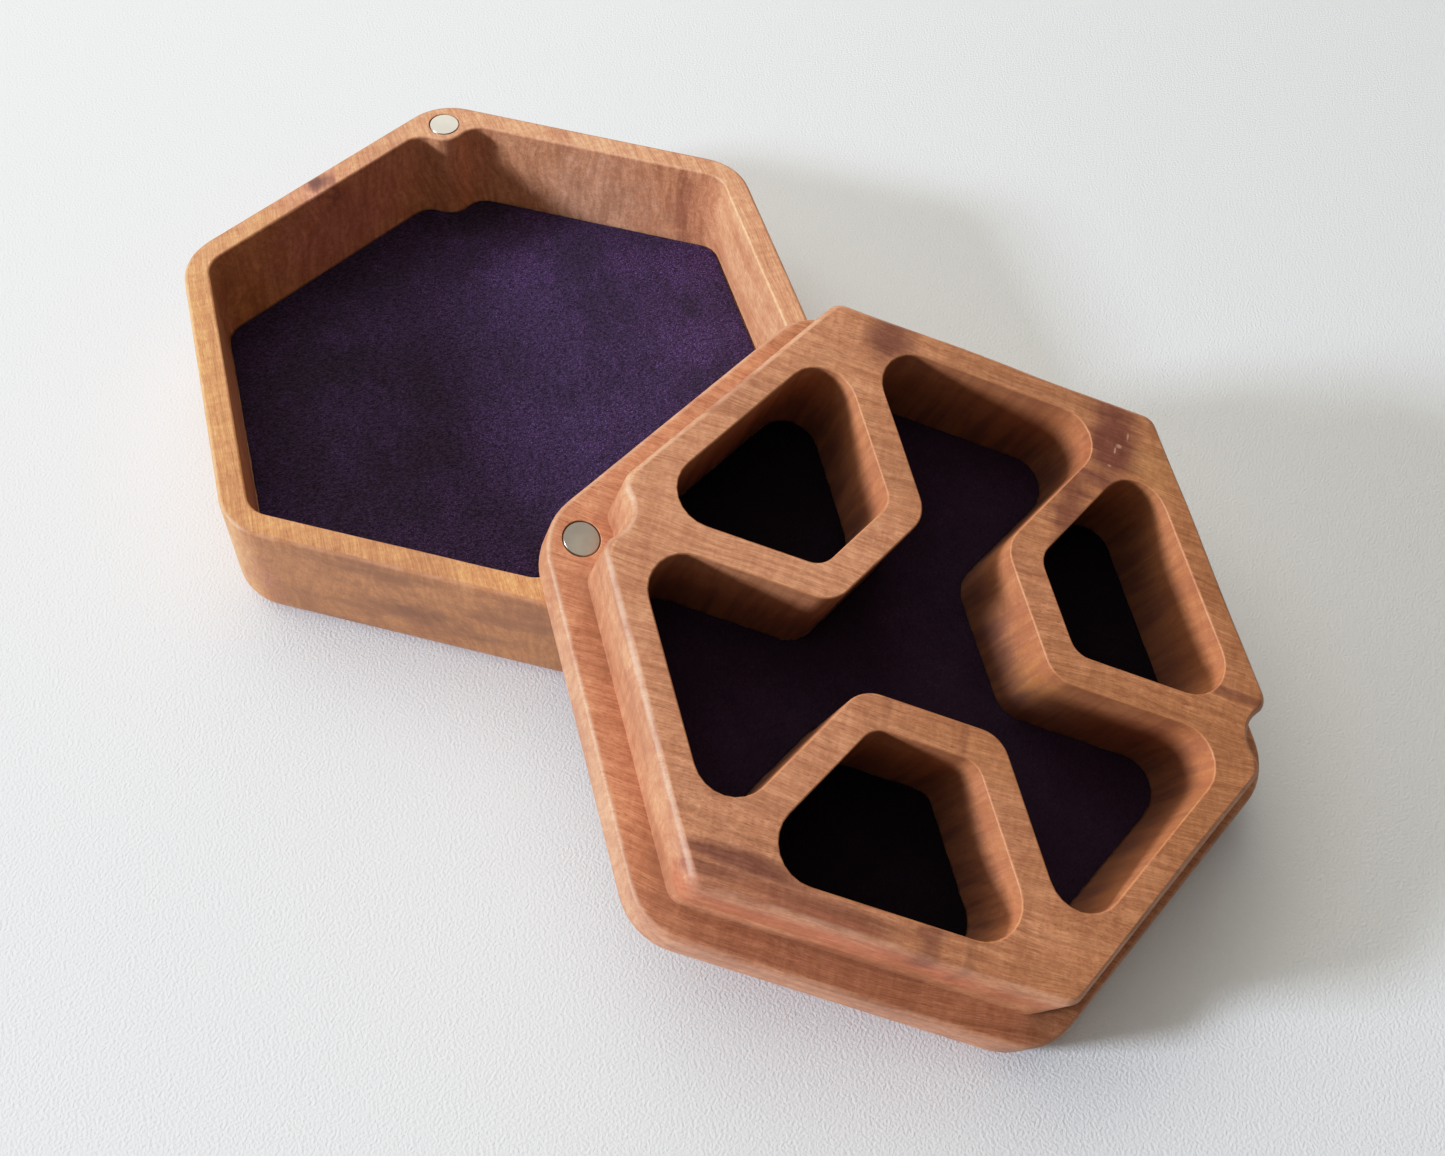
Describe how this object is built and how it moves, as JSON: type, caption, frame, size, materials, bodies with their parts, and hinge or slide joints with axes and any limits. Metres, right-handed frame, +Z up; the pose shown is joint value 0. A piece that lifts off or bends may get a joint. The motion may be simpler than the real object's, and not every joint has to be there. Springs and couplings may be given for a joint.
{
  "type": "hexagonal dice tray box",
  "caption": "Hexagonal wooden dice box in two loose halves: a velvet-floored rolling tray, and a storage half with dice pockets in a plug that nests in it, held shut by magnets.",
  "frame": {"origin": "centre of the tray's underside, on the table", "axes": "+Z up out of the open tray; +Y towards one magnet corner of the tray, away from the storage half; +X to the right as seen from the storage half's side, which is -Y"},
  "size_m": [0.1576, 0.2051, 0.051],
  "materials": {
    "wood": "oiled reddish-brown hardwood, satin",
    "tray_velvet": "short crushed purple velvet",
    "pocket_velvet": "short very dark purple velvet",
    "magnet": "nickel-plated, satin"
  },
  "bodies": {
    "tray": {"tray_shell": "wood", "tray_liner": "tray_velvet", "tray_magnet_far": "magnet", "tray_magnet_near": "magnet"},
    "storage": {"storage_block": "wood", "centre_liner": "pocket_velvet", "pocket_liner_near": "pocket_velvet", "pocket_liner_right": "pocket_velvet", "pocket_liner_left": "pocket_velvet", "storage_magnet_left": "magnet", "storage_magnet_right": "magnet"}
  },
  "joints": [
    {"name": "storage_lift", "type": "slide", "parent": "tray", "child": "storage", "axis": [0, 0, 1], "range_m": [0, 0.06]}
  ]
}
